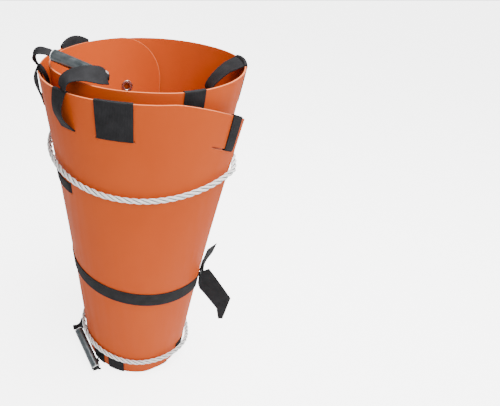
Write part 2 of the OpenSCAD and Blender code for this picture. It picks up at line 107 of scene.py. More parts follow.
# Rope routes: angle, slack off the roll and height
UPPER_ROPE = [(330, 3, 712), (350, 5, 722), (375, 3, 730), (410, 1, 737), (450, 1, 742), (495, 1, 740),
              (540, 1, 723), (575, 1, 700), (605, 1, 685), (630, 1, 681), (650, 1, 686), (670, 2, 698),
              (690, 3, 712)]
LOWER_ROPE = [(330, 3.5, 62), (350, 5, 41), (375, 4, 31), (410, 2, 34), (450, 1, 42), (495, 3.5, 63),
              (540, 1, 80), (575, 1, 80), (605, 1, 73), (630, 1, 66), (650, 1, 65), (670, 3.5, 66),
              (690, 3.5, 62)]
ROPE_D = 13.0
ROPE_STEPS = 330
STRANDS = 3
LAY = 4.4 * ROPE_D
STRAND_R = 0.22 * ROPE_D
STRAND_OUT = ROPE_D / 2 - STRAND_R
STRAND_SIDES = 10
# Knots at the back, and how many degrees on either side the rope's drawn ends stop
KNOT_ANGLE = 90.0
KNOT_TRIM = 2.0
KNOT_R = 17.0
KNOT_SIZE = 3.5
KNOT_DEPTH = 1.25
KNOT_STEPS = 120
# A knot's strands are turned from a point off its middle, because the rope passes close to the middle itself
KNOT_OFF = Vector((0, 0, 7))

# Carry handles
TUBE_R = 13.0
TUBE_WALL = 2.0
TUBE_LEN = 132.0
TUBE_SOFT = 0.5
END_RING_LIP = 2.0
END_RING_LEN = 8.0
END_RING_WALL = 1.5
END_RING_SOFT = 0.4
HEM_R = WEB_T
HEM_LEN = 14.0
HEM_STEPS = 6
BORE_R = TUBE_R - TUBE_WALL
CORE_R = BORE_R - END_RING_WALL - RUN
CORE_OUT = 6.0
CORE_PAST = END_RING_LIP + CORE_OUT
CORE_JOIN = 3.0
CORE_STEPS = 30
# Folds of webbing that is gathered into a cord
FOLDS = 5
FOLD_DEPTH = 0.14
FOLD_SIDES = 40
# Two points on each tube's line: angle, height over the sheet's edge and distance off the sheet
TOP_GRIP_LINE = [(552, 40, -34), (601.6, 16.5, -76)]
FOOT_GRIP_LINE = [(556.8, 57.4, 31), (589.6, 23.4, 38)]
# Straps from a tube's end to the hinge: how far they run straight on, how they are drawn aside there and
# over the hinge, their width, their width at the tube, and its direction there where it isn't level
HANDLE_STRAPS = {("top", "left"): (26, (0, 0, 4), (-14, 0, 34), WEB_W, 22, None),
                 ("top", "right"): (20, (0, -14, 14), (-4, -4, 51), 40, 28, (0.25, -0.45, -0.85)),
                 ("foot", "left"): (20, (0, 0, 6), (-6, 4, 44), 34, 30, None),
                 ("foot", "right"): (14, (-4, 0, 2), (-20, -8, 9), HEM_LEN, 30, None)}
HANDLE_STRAP_STEPS = 36
# Share of the way over which a strap opens to its width
HANDLE_STRAP_OPENS = 1 / 3

# Roll strap with its ring, tail and standing end
STRAP_Z = 334.0
STRAP_RISE = 19.0
STRAP_TURN_STEP = 2
RING_ANGLE = -18.0
RING_SIDE = 6.0
RING_SPAN = 14
BAR_R = 2.5
POST_R = 3.0
NECK_R = 1.5
EYE_R = BAR_R + RUN + WEB_T
EYE_MID = BAR_R + RUN + WEB_T / 2
BAR_Z = WEB_W / 2 + EYE_R + GAP
POST_Y = WEB_W / 2 + RING_SIDE
WIRE_SIDES = 14
# Points along each side of the ring, close together at its corners and at the ends of its neck
RING_SHARES = (0.03, 0.06, 0.09, 0.11, 0.35, 0.65, 0.89, 0.91, 0.94, 0.97)
NECK_SHARE = (0.1, 0.9)
# Both long edges of the tail: share of its length, distance out from the front post and height over the ring
TAIL_LOW = [(0, -4, -19), (0.15, 2, -38), (0.45, 31, -70), (0.7, 58, -101), (1, 67, -144)]
TAIL_HIGH = [(0, -4, 24), (0.15, 22, 44), (0.45, 58, -2), (0.7, 93, -48), (1, 80, -140)]
TAIL_CELLS = (40, 10)
# Its wave, and the share of its length over which that grows
TAIL_WAVE = 1.2
TAIL_HELD = 1 / 3
# The way its weave runs, out and up
TAIL_WAY = (0.64, -0.77)
TAIL_EYE = 20.0
TAIL_EYE_SIDES = 24
TAIL_EYE_SOFT = 0.3
TAB_LEN = 78.0
TAB_LEAN = 11.0
TAB_BOW = 2.0
# How far the standing end's width turns outwards, and the share of its length over which it does
TAB_TURN = 0.5
TAB_TURNED = 0.625
TAB_SHARES = (0.1, 0.25, 0.4, 0.55, 0.7, 0.85, 1.0)
TAB_EYE_SPAN = 340
TAB_EYE_STEP = 20

# Tie strap between its two slots
TIE_Z = 656.0
TIE_W = 28.0
TIE_FROM = 470.0
TIE_TO = 577.0
TIE_SLOT = 3.2
# Its end through a slot: angle from the slot and distance off the sheet
TIE_END = [(-3.64, -LOOP_N - GAP), (-1.26, -LOOP_N * 0.9), (1.26, LOOP_N * 0.9)]
TIE_SETTLE = 4
TIE_STEP = 2

# Eyelets near the inner end
EYELET_ANGLE = 97.0
EYELET_DEPTH = 125.0
EYELET_HOLE = 10.0
EYELET_R = 9.0
EYELET_EASE = 0.6
EYELET_SOFT = 0.2
BARREL_R = 11.0
FLANGE_R = 16.0
FLANGE_T = 1.2
FLANGE_N = -SHEET_T / 2 - FLANGE_R ** 2 / 2 / ROLL_R - 2 * GAP
# How far the flange's outer edge is eased, inwards and up
FLANGE_EASE = (0.5, 0.3)
WASHER_N = SHEET_T / 2 + 1.5 * GAP
WASHER_EASE = 0.4
LIP_N = WASHER_N + FLANGE_T + RUN
LIP_W = 1.5
LIP_T = 0.8
# How far the lip's outer edge is eased, inwards and down, and how far the lip rolls down into the bore
LIP_EASE = (0.3, 0.1)
LIP_ROLL = 0.5

# Camera, floor and lights, in metres and radians; a light is its place, power in watts and size
CAMERA_PLACE = (0, -0.9752, 1.2125)
CAMERA_TILT = 0.6083
CAMERA_LENS = 31.305
CAMERA_SENSOR = 36.0
CAMERA_SHIFT = 0.2287
FLOOR_REACH = 6.0
FLOOR_BRIGHT = 4.5
LIGHTS = {"key": ((0.9, -2.2, 2.6), 88, 1.8), "fill": ((-2.2, -1.4, 1.6), 5, 2.0),
          "over": ((0.6, -0.2, 3.0), 165, 1.4)}
LIT_POINT = Vector((0, 0, 0.5))
ROOM_LIGHT = 0.45


# Small helpers
def mix(a, b, f):
    return a + (b - a) * f


def smooth(f):
    f = min(1.0, max(0.0, f))
    return f * f * (3 - 2 * f)


def bezier(p, f):
    g = 1 - f
    return g ** 3 * p[0] + 3 * g * g * f * p[1] + 3 * g * f * f * p[2] + f ** 3 * p[3]


def curve(rows, x):
    """Cubic through rows whose first column is the place."""
    last = len(rows) - 1
    i = max([k for k in range(last) if rows[k][0] <= x], default=0)
    rows = [Vector(r) for r in rows[max(0, i - 1):i + 3]]
    i = min(i, 1)

    def slope(k):
        a, b = max(0, k - 1), min(len(rows) - 1, k + 1)
        return (rows[b] - rows[a]) / (rows[b][0] - rows[a][0])

    d = rows[i + 1][0] - rows[i][0]
    f = (x - rows[i][0]) / d
    return ((2 * f ** 3 - 3 * f * f + 1) * rows[i] + (f ** 3 - 2 * f * f + f) * d * slope(i)
            + (3 * f * f - 2 * f ** 3) * rows[i + 1] + (f ** 3 - f * f) * d * slope(i + 1))


def shares(steps):
    """Even steps from 0 to 1."""
    return [k / steps for k in range(steps + 1)]


def line(a, b, steps):
    """Even steps from one point or number to another."""
    return [mix(a, b, f) for f in shares(steps)]


def circle(r, sides):
    """Corners round a circle, the first of them not repeated."""
    return [(r * cos(2 * pi * k / sides), r * sin(2 * pi * k / sides)) for k in range(sides)]


def lengths(points):
    """Distance along a line of points at each of them."""
    total = [0.0]
    for a, b in zip(points, points[1:]):
        total.append(total[-1] + (b - a).length)
    return total


def way_at(path, i, closed=False):
    """Direction of a path at one of its points."""
    n = len(path)
    before = path[i - 1] if i or closed else path[i]
    after = path[(i + 1) % n] if i < n - 1 or closed else path[i]
    return (after - before).normalized()


def split(breaks, step):
    """The breaks with evenly spaced places added between them."""
    places = []
    for a, b in zip(breaks, breaks[1:]):
        n = max(1, ceil((b - a) / step))
        places += [mix(a, b, k / n) for k in range(n)]
    return places + [breaks[-1]]


# The sheet's middle surface, by angle along the spiral and height
def radius(a, z):
    t = max(0.0, (z - FOOT) / SHEET_W)
    return ROLL_R + TURN_PITCH * (a - INNER_END) / 360 + curve(FLARE, a)[1] * mix(t * t, t, FLARE_EVEN)


def place(a, z, n=0.0):
    r = radius(a, z) + n
    return Vector((r * cos(radians(a)), r * sin(radians(a)), z))


def wrap_radius(a, z):
    """Radius of the outermost turn, with a straight bridge just past the outer end."""
    o = a - 360 * floor((a - OUTER_END) / 360)
    o = o - 360 if o > OUTER_END else o
    past = o - (OUTER_END - 360)
    if past < BRIDGE:
        return mix(radius(OUTER_END, z), radius(OUTER_END - 360 + BRIDGE, z), past / BRIDGE)
    return radius(o, z)


CORNER_ARC_R = radius(INNER_END, RIM)


def taper(a, start, depth, power):
    return depth * ((a - start) / (OUTER_END - start)) ** power if a > start else 0.0


def edge(a, up):
    """Height of the sheet's upper or lower edge."""
    s = radians(a - INNER_END) * CORNER_ARC_R
    cut = CORNER_R - sqrt(max(0.0, CORNER_R ** 2 - (CORNER_R - s) ** 2)) if s < CORNER_R else 0.0
    if up:
        return RIM + ROLL_RISE * smooth((RISE_END - a) / RISE_RUN) - cut - taper(a, *TOP_TAPER)
    return FOOT + cut + taper(a, *FOOT_TAPER)


def half_angle(a, z, w):
    return degrees(w / 2 / radius(a, z))


# Materials
def new_material(name, colour, roughness, metallic=0.0):
    m = bpy.data.materials.new(name)
    m.use_nodes = True
    m.diffuse_color = (*colour, 1)
    shader = m.node_tree.nodes["Principled BSDF"]
    shader.inputs["Base Color"].default_value = (*colour, 1)
    shader.inputs["Roughness"].default_value = roughness
    shader.inputs["Metallic"].default_value = metallic
    return m


def add(m, kind, values=None, **facts):
    node = m.node_tree.nodes.new("ShaderNode" + kind)
    for key, value in facts.items():
        setattr(node, key, value)
    for key, value in (values or {}).items():
        node.inputs[key].default_value = value
    return node


def link(m, source, target):
    m.node_tree.links.new(source, target)


def coords(m, which, scale):
    """Object coordinates or the piece's own UV map, both in metres, times a scale for each direction."""
    mapping = add(m, "Mapping", {"Scale": scale})
    link(m, add(m, "TexCoord").outputs[which], mapping.inputs["Vector"])
    return mapping.outputs["Vector"]


def ramp(m, factor, low, high, colours):
    node = add(m, "ValToRGB")
    for stop, place_at, colour in zip(node.color_ramp.elements, (low, high), colours):
        stop.position = place_at
        stop.color = (*colour, 1)
    link(m, factor, node.inputs["Fac"])
    return node.outputs["Color"]


def bump(m, height, strength, distance, under=None):
    node = add(m, "Bump", {"Strength": strength, "Distance": distance})
    link(m, height, node.inputs["Height"])
    if under:
        link(m, under, node.inputs["Normal"])
    return node.outputs["Normal"]


def shader_of(m):
    return m.node_tree.nodes["Principled BSDF"].inputs


def sheet_material(name, colour, paler):
    """Satin polyethylene: cloudy colour, soft waves, a fine peel and a few long scuffs."""
    m = new_material(name, colour, 0.48)
    shader_of(m)["Specular IOR Level"].default_value = 0.07
    cloud = add(m, "TexNoise", {"Scale": 5.0, "Detail": 3.0, "Roughness": 0.55})
    link(m, coords(m, "Object", (1, 1, 0.6)), cloud.inputs["Vector"])
    scuff = add(m, "TexNoise", {"Scale": 60.0, "Detail": 4.0, "Roughness": 0.6})
    link(m, coords(m, "Object", (1, 1, 0.06)), scuff.inputs["Vector"])
    peel = add(m, "TexNoise", {"Scale": 700.0, "Detail": 2.0})
    link(m, coords(m, "Object", (1, 1, 1)), peel.inputs["Vector"])
    base = ramp(m, cloud.outputs["Fac"], 0.3, 0.75, (colour, paler))
    worn = add(m, "MixRGB", blend_type="MIX")
    link(m, ramp(m, scuff.outputs["Fac"], 0.70, 0.86, ((0, 0, 0), (0.12, 0.12, 0.12))), worn.inputs["Fac"])
    link(m, base, worn.inputs["Color1"])
    worn.inputs["Color2"].default_value = (*[mix(c, 0.8, 0.35) for c in colour], 1)
    link(m, worn.outputs["Color"], shader_of(m)["Base Color"])
    gloss = ramp(m, scuff.outputs["Fac"], 0.35, 0.75, ((0.42, 0.42, 0.42), (0.56, 0.56, 0.56)))
    link(m, gloss, shader_of(m)["Roughness"])
    waves = bump(m, cloud.outputs["Fac"], 0.25, 0.004)
    link(m, bump(m, peel.outputs["Fac"], 0.12, 0.0003, waves), shader_of(m)["Normal"])
    return m


def webbing_material():
    """Woven webbing: ribs along the strap crossed by fine weft, on the strap's own UV map in metres, with a
    painted sheen lightening the weave's crests.
    """
    m = new_material("webbing", (0.022, 0.022, 0.024), 0.72)
    ribs = add(m, "TexWave", {"Scale": 1.0, "Distortion": 0.3}, bands_direction="X")
    link(m, coords(m, "UV", (100, 0, 0)), ribs.inputs["Vector"])
    weft = add(m, "TexWave", {"Scale": 1.0, "Distortion": 0.6}, bands_direction="Y")
    link(m, coords(m, "UV", (0, 160, 0)), weft.inputs["Vector"])
    cross = add(m, "Math", operation="MULTIPLY")
    link(m, ribs.outputs["Fac"], cross.inputs[0])
    link(m, weft.outputs["Fac"], cross.inputs[1])
    fade = add(m, "TexNoise", {"Scale": 45.0, "Detail": 4.0})
    link(m, coords(m, "Object", (1, 1, 1)), fade.inputs["Vector"])
    tone = ramp(m, fade.outputs["Fac"], 0.3, 0.8, ((0.008, 0.008, 0.009), (0.018, 0.018, 0.020)))
    # Painted sheen: the weave's crests are made lighter in the base colour.
    painted_weave_sheen = add(m, "MixRGB", {"Fac": 0.35}, blend_type="ADD")
    link(m, tone, painted_weave_sheen.inputs["Color1"])
    link(m, ramp(m, cross.outputs[0], 0.2, 0.9, ((0, 0, 0), (0.02, 0.02, 0.022))), painted_weave_sheen.inputs["Color2"])
    link(m, painted_weave_sheen.outputs["Color"], shader_of(m)["Base Color"])
    link(m, bump(m, cross.outputs[0], 0.6, 0.0006), shader_of(m)["Normal"])
    shader_of(m)["Specular IOR Level"].default_value = 0.15
    return m


def rope_material():
    """Laid rope: fine slanting yarns on each strand's own UV map in metres, with painted shade darkening the
    grooves between strands.
    """
    m = new_material("rope", (0.84, 0.85, 0.84), 0.7)
    yarn = add(m, "TexWave", {"Scale": 1.0, "Distortion": 0.8, "Detail": 1.0}, bands_direction="X")
    link(m, coords(m, "UV", (300, 60, 0)), yarn.inputs["Vector"])
    # Painted shade: ambient occlusion darkens the base colour in the grooves between strands.
    groove_occlusion = add(m, "AmbientOcclusion", {"Distance": 0.012}, samples=8, only_local=True)
    shade = add(m, "MixRGB", {"Fac": 1.0}, blend_type="MULTIPLY")
    pale = ramp(m, yarn.outputs["Fac"], 0.0, 1.0, ((0.72, 0.73, 0.72), (0.93, 0.94, 0.94)))
    link(m, pale, shade.inputs["Color1"])
    painted_groove_shade = ramp(m, groove_occlusion.outputs["AO"], 0.42, 0.86, ((0.07, 0.09, 0.08), (1, 1, 1)))
    link(m, painted_groove_shade, shade.inputs["Color2"])
    link(m, shade.outputs["Color"], shader_of(m)["Base Color"])
    link(m, bump(m, yarn.outputs["Fac"], 0.5, 0.0005), shader_of(m)["Normal"])
    return m


def floor_material():
    """Plain white floor that looks as bright as a lit studio sweep without lighting the part from below."""
    m = new_material("floor", (0.85, 0.85, 0.85), 0.9)
    seen = add(m, "LightPath")
    bright = add(m, "Math", {1: FLOOR_BRIGHT}, operation="MULTIPLY")
    link(m, seen.outputs["Is Camera Ray"], bright.inputs[0])
    shader_of(m)["Emission Color"].default_value = (1, 1, 1, 1)
    link(m, bright.outputs[0], shader_of(m)["Emission Strength"])
    return m


def hard_material(name, colour, roughness, metallic, grain):
    """Metal or moulded plastic with a fine grain and uneven gloss."""
    m = new_material(name, colour, roughness, metallic)
    fine = add(m, "TexNoise", {"Scale": grain, "Detail": 3.0})
    link(m, coords(m, "Object", (1, 1, 1)), fine.inputs["Vector"])
    low, high = roughness * 0.85, roughness * 1.25
    link(m, ramp(m, fine.outputs["Fac"], 0.3, 0.7, ([low] * 3, [high] * 3)), shader_of(m)["Roughness"])
    paler = [mix(c, 1.0, 0.08) for c in colour]
    link(m, ramp(m, fine.outputs["Fac"], 0.35, 0.75, (colour, paler)), shader_of(m)["Base Color"])
    link(m, bump(m, fine.outputs["Fac"], 0.08, 0.0002), shader_of(m)["Normal"])
    return m


ORANGE = sheet_material("sheet", (0.50, 0.072, 0.010), (0.54, 0.085, 0.014))
ORANGE_EDGE = sheet_material("sheet_edge", (0.62, 0.16, 0.06), (0.66, 0.19, 0.08))
WEBBING = webbing_material()
ROPE = rope_material()
TUBE = hard_material("grip_tube", (0.11, 0.13, 0.14), 0.30, 0.9, 60.0)
PALE_RING = hard_material("grip_ring", (0.72, 0.74, 0.75), 0.40, 0.0, 250.0)
NICKEL = hard_material("eyelet", (0.66, 0.67, 0.69), 0.25, 1.0, 400.0)
BLACK_METAL = hard_material("strap_ring", (0.02, 0.02, 0.022), 0.42, 0.0, 500.0)


# Making pieces
def finish_piece(name, bm, body, materials, nodes=(), thick=0.0, bevel=0.0):
    """Turns a mesh in millimetres into a piece of the scene, with a wall and softened edges where asked."""
    bmesh.ops.scale(bm, vec=(MM, MM, MM), verts=bm.verts)
    for face in bm.faces:
        face.smooth = True
    mesh = bpy.data.meshes.new(name)
    bm.to_mesh(mesh)
    bm.free()
    for m in materials:
        mesh.materials.append(m)
    piece = bpy.data.objects.new(name, mesh)
    bpy.context.collection.objects.link(piece)
    if thick:
        wall = piece.modifiers.new("wall", "SOLIDIFY")
        wall.thickness = thick * MM
        wall.offset = 0.0
        wall.use_even_offset = True
        wall.material_offset_rim = len(materials) - 1
    if bevel:
        soft = piece.modifiers.new("soft_edges", "BEVEL")
        soft.width = bevel * MM
        soft.segments = 2
        soft.limit_method = "ANGLE"
        soft.angle_limit = radians(SHARP)
    if thick or bevel:
        piece.modifiers.new("shading", "WEIGHTED_NORMAL").keep_sharp = True
    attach(piece, body)
    if nodes:
        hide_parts(*nodes)
    return piece


def webbing_piece(name, bm, body, nodes=()):
    """A strap's middle surface, given the thickness of webbing."""
    finish_piece(name, bm, body, [WEBBING], nodes, WEB_T, WEB_SOFT)


def grid(us, vs, spot, uv=None, gone=None, join=False):
    """A grid whose corner at us[i], vs[j] moves to spot(us[i], vs[j]), without the cells that are gone."""
    bm = bmesh.new()
    bmesh.ops.create_grid(bm, x_segments=len(us) - 1, y_segments=len(vs) - 1, size=1.0)
    low = min(v.co.x for v in bm.verts)
    high = max(v.co.x for v in bm.verts)
    at = {}
    for v in bm.verts:
        i = round((v.co.x - low) / (high - low) * (len(us) - 1))
        j = round((v.co.y - low) / (high - low) * (len(vs) - 1))
        at[v] = (i, j)
    layer = bm.loops.layers.uv.verify()
    for face in bm.faces:
        for corner in face.loops:
            i, j = at[corner.vert]
            corner[layer].uv = uv(i, j) if uv else (us[i], vs[j])
    if gone:
        cells = [f for f in bm.faces
                 if gone(min(at[v][0] for v in f.verts), min(at[v][1] for v in f.verts))]
        bmesh.ops.delete(bm, geom=cells, context="FACES")
    for v in bm.verts:
        i, j = at[v]
        v.co = spot(us[i], vs[j])
    if join:
        bmesh.ops.remove_doubles(bm, verts=bm.verts, dist=TOUCHING)
    bmesh.ops.recalc_face_normals(bm, faces=bm.faces)
    return bm


def band(points, wides, widths):
    """Flat strap through points, with its width direction and its width at each."""
    n = len(points)
    run = lengths(points)
    sides = []
    for i in range(n):
        way = way_at(points, i)
        wide = wides[i] - way * wides[i].dot(way)
        sides.append(wide.normalized() * widths[i])
    vs = [f - 0.5 for f in shares(WEB_CELLS)]
    return grid(range(n), vs, lambda i, v: points[i] + sides[i] * v,
                uv=lambda i, j: (vs[j] * widths[i] * MM, run[i] * MM))


def lathe(profile, origin, axis, steps=48):
    """Closed outline of (radius, height) points turned about an axis through origin."""
    bm = bmesh.new()
    verts = [bm.verts.new((r, 0, h)) for r, h in profile]
    edges = [bm.edges.new((a, b)) for a, b in zip(verts, verts[1:] + verts[:1])]
    bmesh.ops.spin(bm, geom=verts + edges, cent=(0, 0, 0), axis=(0, 0, 1), angle=2 * pi, steps=steps,
                   use_merge=True)
    bmesh.ops.recalc_face_normals(bm, faces=bm.faces)
    turn = Vector((0, 0, 1)).rotation_difference(axis).to_matrix().to_4x4()
    bmesh.ops.transform(bm, matrix=Matrix.Translation(origin) @ turn, verts=bm.verts)
    return bm


# Width in metres that the girth of a swept tube has on its UV map
GIRTH_UV = 0.02


def sweep(path, section, closed=False):
    """Tube along a path; section(f) gives the offsets round it at the share f of the path."""
    n = len(path)
    run = lengths(path)
    frames = []
    side = Vector((0, 0, 1))
    for i, p in enumerate(path):
        way = way_at(path, i, closed)
        side = (side - way * side.dot(way)).normalized()
        frames.append((p, way.cross(side), side))
    count = len(section(0.0))

    def spot(i, k):
        p, across, up = frames[i % n]
        x, y = section(i / n)[k % count]
        return p + across * x + up * y

    last = n + 1 if closed else n
    bm = grid(range(last), range(count + 1), spot, join=True,
              uv=lambda i, k: (k / count * GIRTH_UV, run[min(i, n - 1)] * MM))
    if not closed:
        bmesh.ops.holes_fill(bm, edges=[e for e in bm.edges if e.is_boundary], sides=count)
    bmesh.ops.recalc_face_normals(bm, faces=bm.faces)
    return bm


# Camera, floor and light
def studio():
    camera = bpy.data.objects.new("camera", bpy.data.cameras.new("camera"))
    camera.location = CAMERA_PLACE
    camera.rotation_euler = (pi / 2 - CAMERA_TILT, 0, 0)
    camera.data.lens = CAMERA_LENS
    camera.data.sensor_width = CAMERA_SENSOR
    camera.data.shift_x = CAMERA_SHIFT
    bpy.context.collection.objects.link(camera)
    bpy.context.scene.camera = camera
    bm = bmesh.new()
    bmesh.ops.create_grid(bm, x_segments=1, y_segments=1, size=FLOOR_REACH)
    mesh = bpy.data.meshes.new("floor")
    bm.to_mesh(mesh)
    bm.free()
    floor_piece = bpy.data.objects.new("floor", mesh)
    mesh.materials.append(floor_material())
    bpy.context.collection.objects.link(floor_piece)
    for name, (where, power, size) in LIGHTS.items():
        lamp = bpy.data.lights.new(name, "AREA")
        lamp.energy = power
        lamp.size = size
        light = bpy.data.objects.new(name, lamp)
        light.location = where
        light.rotation_euler = (LIT_POINT - Vector(where)).to_track_quat("-Z", "Y").to_euler()
        bpy.context.collection.objects.link(light)
    world = bpy.data.worlds.new("studio")
    world.use_nodes = True
    world.node_tree.nodes["Background"].inputs["Color"].default_value = (1, 1, 1, 1)
    world.node_tree.nodes["Background"].inputs["Strength"].default_value = ROOM_LIGHT
    bpy.context.scene.world = world


# Ropes: three strands laid round the route
def rope_path(rows):
    """Points on the rope's middle from the knot at the back, once round, to the knot again."""
    points = []
    for k in range(ROPE_STEPS + 1):
        turn = KNOT_ANGLE + KNOT_TRIM + (360 - 2 * KNOT_TRIM) * k / ROPE_STEPS
        a = turn + 360 if turn < rows[0][0] else turn
        a = a - 360 if a > rows[-1][0] else a
        row = curve(rows, a)
        r = wrap_radius(a, row[2]) + SHEET_T / 2 + ROPE_D / 2 + GAP + row[1]
        points.append(Vector((r * cos(radians(a)), r * sin(radians(a)), row[2])))
    return points


def knot_path(rows):
    """A trefoil at the back of the roll, where the rope's ends meet."""
    z = curve(rows, KNOT_ANGLE + 360)[2]
    centre = Vector((0, wrap_radius(KNOT_ANGLE, z) + SHEET_T / 2 + 2 * GAP + KNOT_R, z))
    points = []
    for k in range(KNOT_STEPS):
        t = 2 * pi * k / KNOT_STEPS
        loops = (sin(t) + 2 * sin(2 * t), -KNOT_DEPTH * sin(3 * t), cos(t) - 2 * cos(2 * t))
        points.append(centre + KNOT_SIZE * Vector(loops))
    return points


def laid_rope(path, closed=False):
    """Strands that twist round a path, in one mesh."""
    run = lengths(path + path[:1] if closed else path)
    total = run[-1]
    turns = round(total / LAY) if closed else total / LAY
    middle = sum(path, Vector()) / len(path)
    ring = circle(STRAND_R, STRAND_SIDES)
    whole = bmesh.new()
    for s in range(STRANDS):
        strand = []
        for i, p in enumerate(path):
            way = way_at(path, i, closed)
            out = p - middle + KNOT_OFF if closed else Vector((p.x, p.y, 0))
            out = (out - way * out.dot(way)).normalized()
            f = 2 * pi * (run[i] / total * turns + s / STRANDS)
            strand.append(p + STRAND_OUT * (cos(f) * out + sin(f) * way.cross(out)))
        part = bpy.data.meshes.new("strand")
        bm = sweep(strand, lambda f: ring, closed)
        bm.to_mesh(part)
        bm.free()
        whole.from_mesh(part)
        bpy.data.meshes.remove(part)
    return whole


def make_ropes():
    for name, rows in (("upper", UPPER_ROPE), ("lower", LOWER_ROPE)):
        path = rope_path(rows)
        rope = finish_piece(name + "_rope_strands", laid_rope(path), "roll", [ROPE],
                            [name + "_rope"])
        finish_piece(name + "_rope_knot", laid_rope(knot_path(rows), True), "roll", [ROPE],
                     [name + "_knot"])
        lengths(path)[-1] * MM


# Sheet: a grid on the spiral, with its slots and eyelet holes left out
CORNER_STEPS = 12
COLUMN_STEP = 2.5
# Rows of the grid from the foot up: to the slot, the slot, to the eyelet's hole, the hole, to the tie
# strap's slot, that slot, and the same again in reverse up to the rim
SHEET_ROWS = [6, 1, 3, 2, 28, 2, 5, 2, 3, 1, 6]


def slot_spans(up):
    spans = []
    for a, w, _, _, on in (LOOPS if up else FOOT_LOOPS).values():
        z = edge(a, up) + (-SLOT_DEPTH if up else FOOT_SLOT_DEPTH)
        h = half_angle(a, z, w + SLOT_PLAY)
        spans.append((a - h - on, a + h))
    return spans


def sheet_breaks(a):
    """Heights of the sheet's edges and of its slots and holes at an angle, from the foot up."""
    low, high = edge(a, False), edge(a, True)
    hole = (EYELET_DEPTH - EYELET_HOLE, EYELET_DEPTH + EYELET_HOLE)
    foot_cuts = (FOOT_SLOT_DEPTH - SLIT / 2, FOOT_SLOT_DEPTH + SLIT / 2) + hole
    top_cuts = (SLOT_DEPTH - SLIT / 2, SLOT_DEPTH + SLIT / 2) + hole
    tie = (TIE_W + SLOT_PLAY) / 2
    lower = [low] + [low + c for c in foot_cuts]
    upper = [high - c for c in reversed(top_cuts)] + [high]
    return lower + [TIE_Z - tie, TIE_Z + tie] + upper


def make_sheet():
    top_slots = slot_spans(True)
    foot_slots = slot_spans(False)
    tie_slots = [(a - TIE_SLOT / 2, a + TIE_SLOT / 2) for a in (TIE_FROM, TIE_TO)]
    turn = half_angle(EYELET_ANGLE, TIE_Z, 2 * EYELET_HOLE)
    holes = [(EYELET_ANGLE - turn, EYELET_ANGLE + turn)]
    corner = [INNER_END + degrees(CORNER_R * (1 - cos(pi / 2 * f)) / CORNER_ARC_R)
              for f in shares(CORNER_STEPS)]
    ends = [a for span in top_slots + foot_slots + tie_slots + holes for a in span]
    columns = split(sorted(set(corner + ends + [TOP_TAPER[0], FOOT_TAPER[0], OUTER_END])), COLUMN_STEP)
    first = [sum(SHEET_ROWS[:k]) for k in range(len(SHEET_ROWS))]
    rows = []
    for k, n in enumerate(SHEET_ROWS):
        rows += [(k, i / n) for i in range(n)]
    rows.append((len(SHEET_ROWS) - 1, 1.0))

    def spot(a, row):
        b = sheet_breaks(a)
        return place(a, mix(b[row[0]], b[row[0] + 1], row[1]))

    def gone(i, j):
        m = (columns[i] + columns[i + 1]) / 2
        k = max(x for x in range(len(SHEET_ROWS)) if first[x] <= j)
        spans = {1: foot_slots, 3: holes, 5: tie_slots, 7: holes, 9: top_slots}.get(k, [])
        return any(a < m < b for a, b in spans)

    bm = grid(columns, rows, spot, gone=gone,
              uv=lambda i, j: (radians(columns[i]) * ROLL_R * MM, spot(columns[i], rows[j])[2] * MM))
    finish_piece("sheet_skin", bm, "roll", [ORANGE, ORANGE_EDGE], ["sheet"], SHEET_T, SHEET_SOFT)


# Webbing loops through the edge slots
LOOP_STEPS = 12
# How full the fold over the edge is, how round the sag is, and how far the webbing turns in its slot
FOLD_FULL = 1.22
SAG_ROUND = 0.65
SLOT_TURN = 0.7
# How much lower an arch is at the webbing's edges than in its middle
ARCH_FALL = 0.75
# Points of a loop's outline over which it runs to one side, where it is back, and over which it comes back
ASIDE_RISE = 5
ASIDE_BACK = 34
ASIDE_FALL = 10


def loop_path(arch, sag, depth, bulge, droop):
    """Outline of a loop as distance off the sheet and height over its edge, from the slot to the slot."""
    top = GAP + WEB_T / 2 + arch
    low = SLOT_H / 4
    steps = shares(LOOP_STEPS)
    outside = [(LOOP_N + bulge * sin(pi * f), mix(low - depth, 0, f)) for f in steps]
    over = [(LOOP_N * cos(pi * f), top * min(1.0, FOLD_FULL * sin(pi * f))) for f in steps[1:-1]]
    inside = []
    for f in steps:
        slack = sin(pi * f)
        inside.append((-LOOP_N - sag * abs(slack) ** SAG_ROUND, mix(0, low - depth, f) - droop * slack))
    through = [(-LOOP_N * SLOT_TURN, -depth), (0, -depth - low / 2), (LOOP_N * SLOT_TURN, -depth)]
    return outside + over + inside + through + outside[:1]


def make_loop(name, a, w, arch, sag, up):
    across = [2 * f - 1 for f in shares(LOOP_STEPS)]
    depth = SLOT_DEPTH if up else FOOT_SLOT_DEPTH
    bulge, droop, aside, turn = DRAPE.get(name, SNUG)
    paths = [loop_path(arch * (1 - ARCH_FALL * v * v), sag, depth, bulge * (1 + turn * v), droop)
             for v in across]
    run = lengths([Vector(p) for p in paths[LOOP_STEPS // 2]])
    half = half_angle(a, edge(a, up), w)

    def spot(k, j):
        b = a + half * across[j] + aside * smooth(k / ASIDE_RISE) * smooth((ASIDE_BACK - k) / ASIDE_FALL)
        n, h = paths[j][k]
        return place(b, edge(b, up) + (h if up else -h), n)

    bm = grid(range(len(run)), range(LOOP_STEPS + 1), spot, join=True,
              uv=lambda k, j: (across[j] * w / 2 * MM, run[k] * MM))
    webbing_piece(name + "_webbing", bm, "roll", [name])


def make_loops():
    for end, loops in (("top", LOOPS), ("foot", FOOT_LOOPS)):
        for name, (a, w, arch, sag, _) in loops.items():
            make_loop(f"{name}_{end}", a, w, arch, sag, end == "top")


